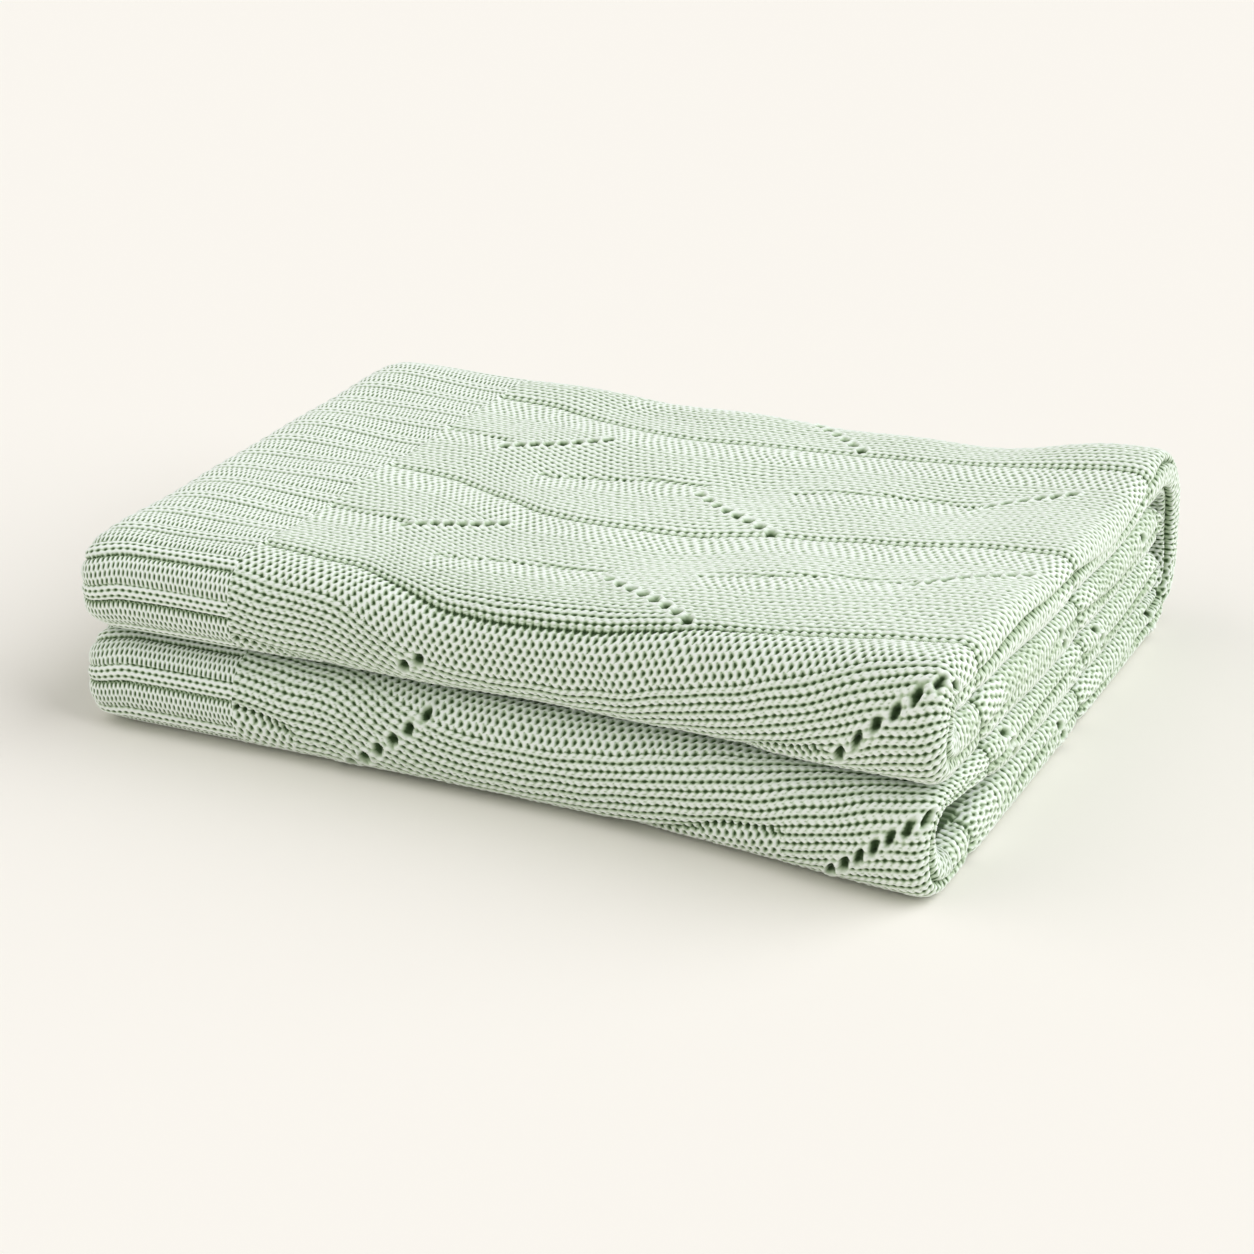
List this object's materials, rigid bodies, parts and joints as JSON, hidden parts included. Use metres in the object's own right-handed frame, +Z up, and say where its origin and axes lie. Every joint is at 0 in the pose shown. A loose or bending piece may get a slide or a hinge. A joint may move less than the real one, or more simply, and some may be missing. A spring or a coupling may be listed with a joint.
{
  "type": "folded throw blanket",
  "caption": "Thick knitted throw folded into a neat stack, with ribbed end bands; the upper packet opens back flat over the spine like a book.",
  "frame": {"origin": "centre of the underside of the folded stack", "axes": "+X along the folds, away from the ribbed band; +Y towards the spine at the back; +Z up"},
  "size_m": [0.42, 0.336, 0.0946],
  "materials": {
    "knit_panel": "pale mint green knit, matt, slightly fuzzy",
    "knit_rib": "pale mint green rib knit, matt, slightly fuzzy"
  },
  "bodies": {
    "lower_packet": {"bottom_leaf_panel": "knit_panel", "bottom_leaf_rib": "knit_rib", "lower_front_fold_panel": "knit_panel", "lower_front_fold_rib": "knit_rib", "lower_inner_leaf_panel": "knit_panel", "lower_inner_leaf_rib": "knit_rib", "lower_spine_turn_panel": "knit_panel", "lower_spine_turn_rib": "knit_rib"},
    "spine": {"spine_panel": "knit_panel", "spine_rib": "knit_rib"},
    "upper_packet": {"upper_spine_turn_panel": "knit_panel", "upper_spine_turn_rib": "knit_rib", "upper_inner_leaf_panel": "knit_panel", "upper_inner_leaf_rib": "knit_rib", "upper_front_fold_panel": "knit_panel", "upper_front_fold_rib": "knit_rib", "top_leaf_panel": "knit_panel", "top_leaf_rib": "knit_rib"}
  },
  "joints": [
    {"name": "spine_lower_fold", "type": "hinge", "parent": "lower_packet", "child": "spine", "pos_m": [0, 0.14874, 0.01926], "axis": [-1, 0, 0], "range_deg": [0, 90]},
    {"name": "spine_upper_fold", "type": "hinge", "parent": "spine", "child": "upper_packet", "pos_m": [0, 0.14874, 0.07534], "axis": [-1, 0, 0], "range_deg": [0, 90]}
  ],
  "couplings": [
    {"joint": "spine_upper_fold", "follows": "spine_lower_fold", "ratio": 1}
  ]
}
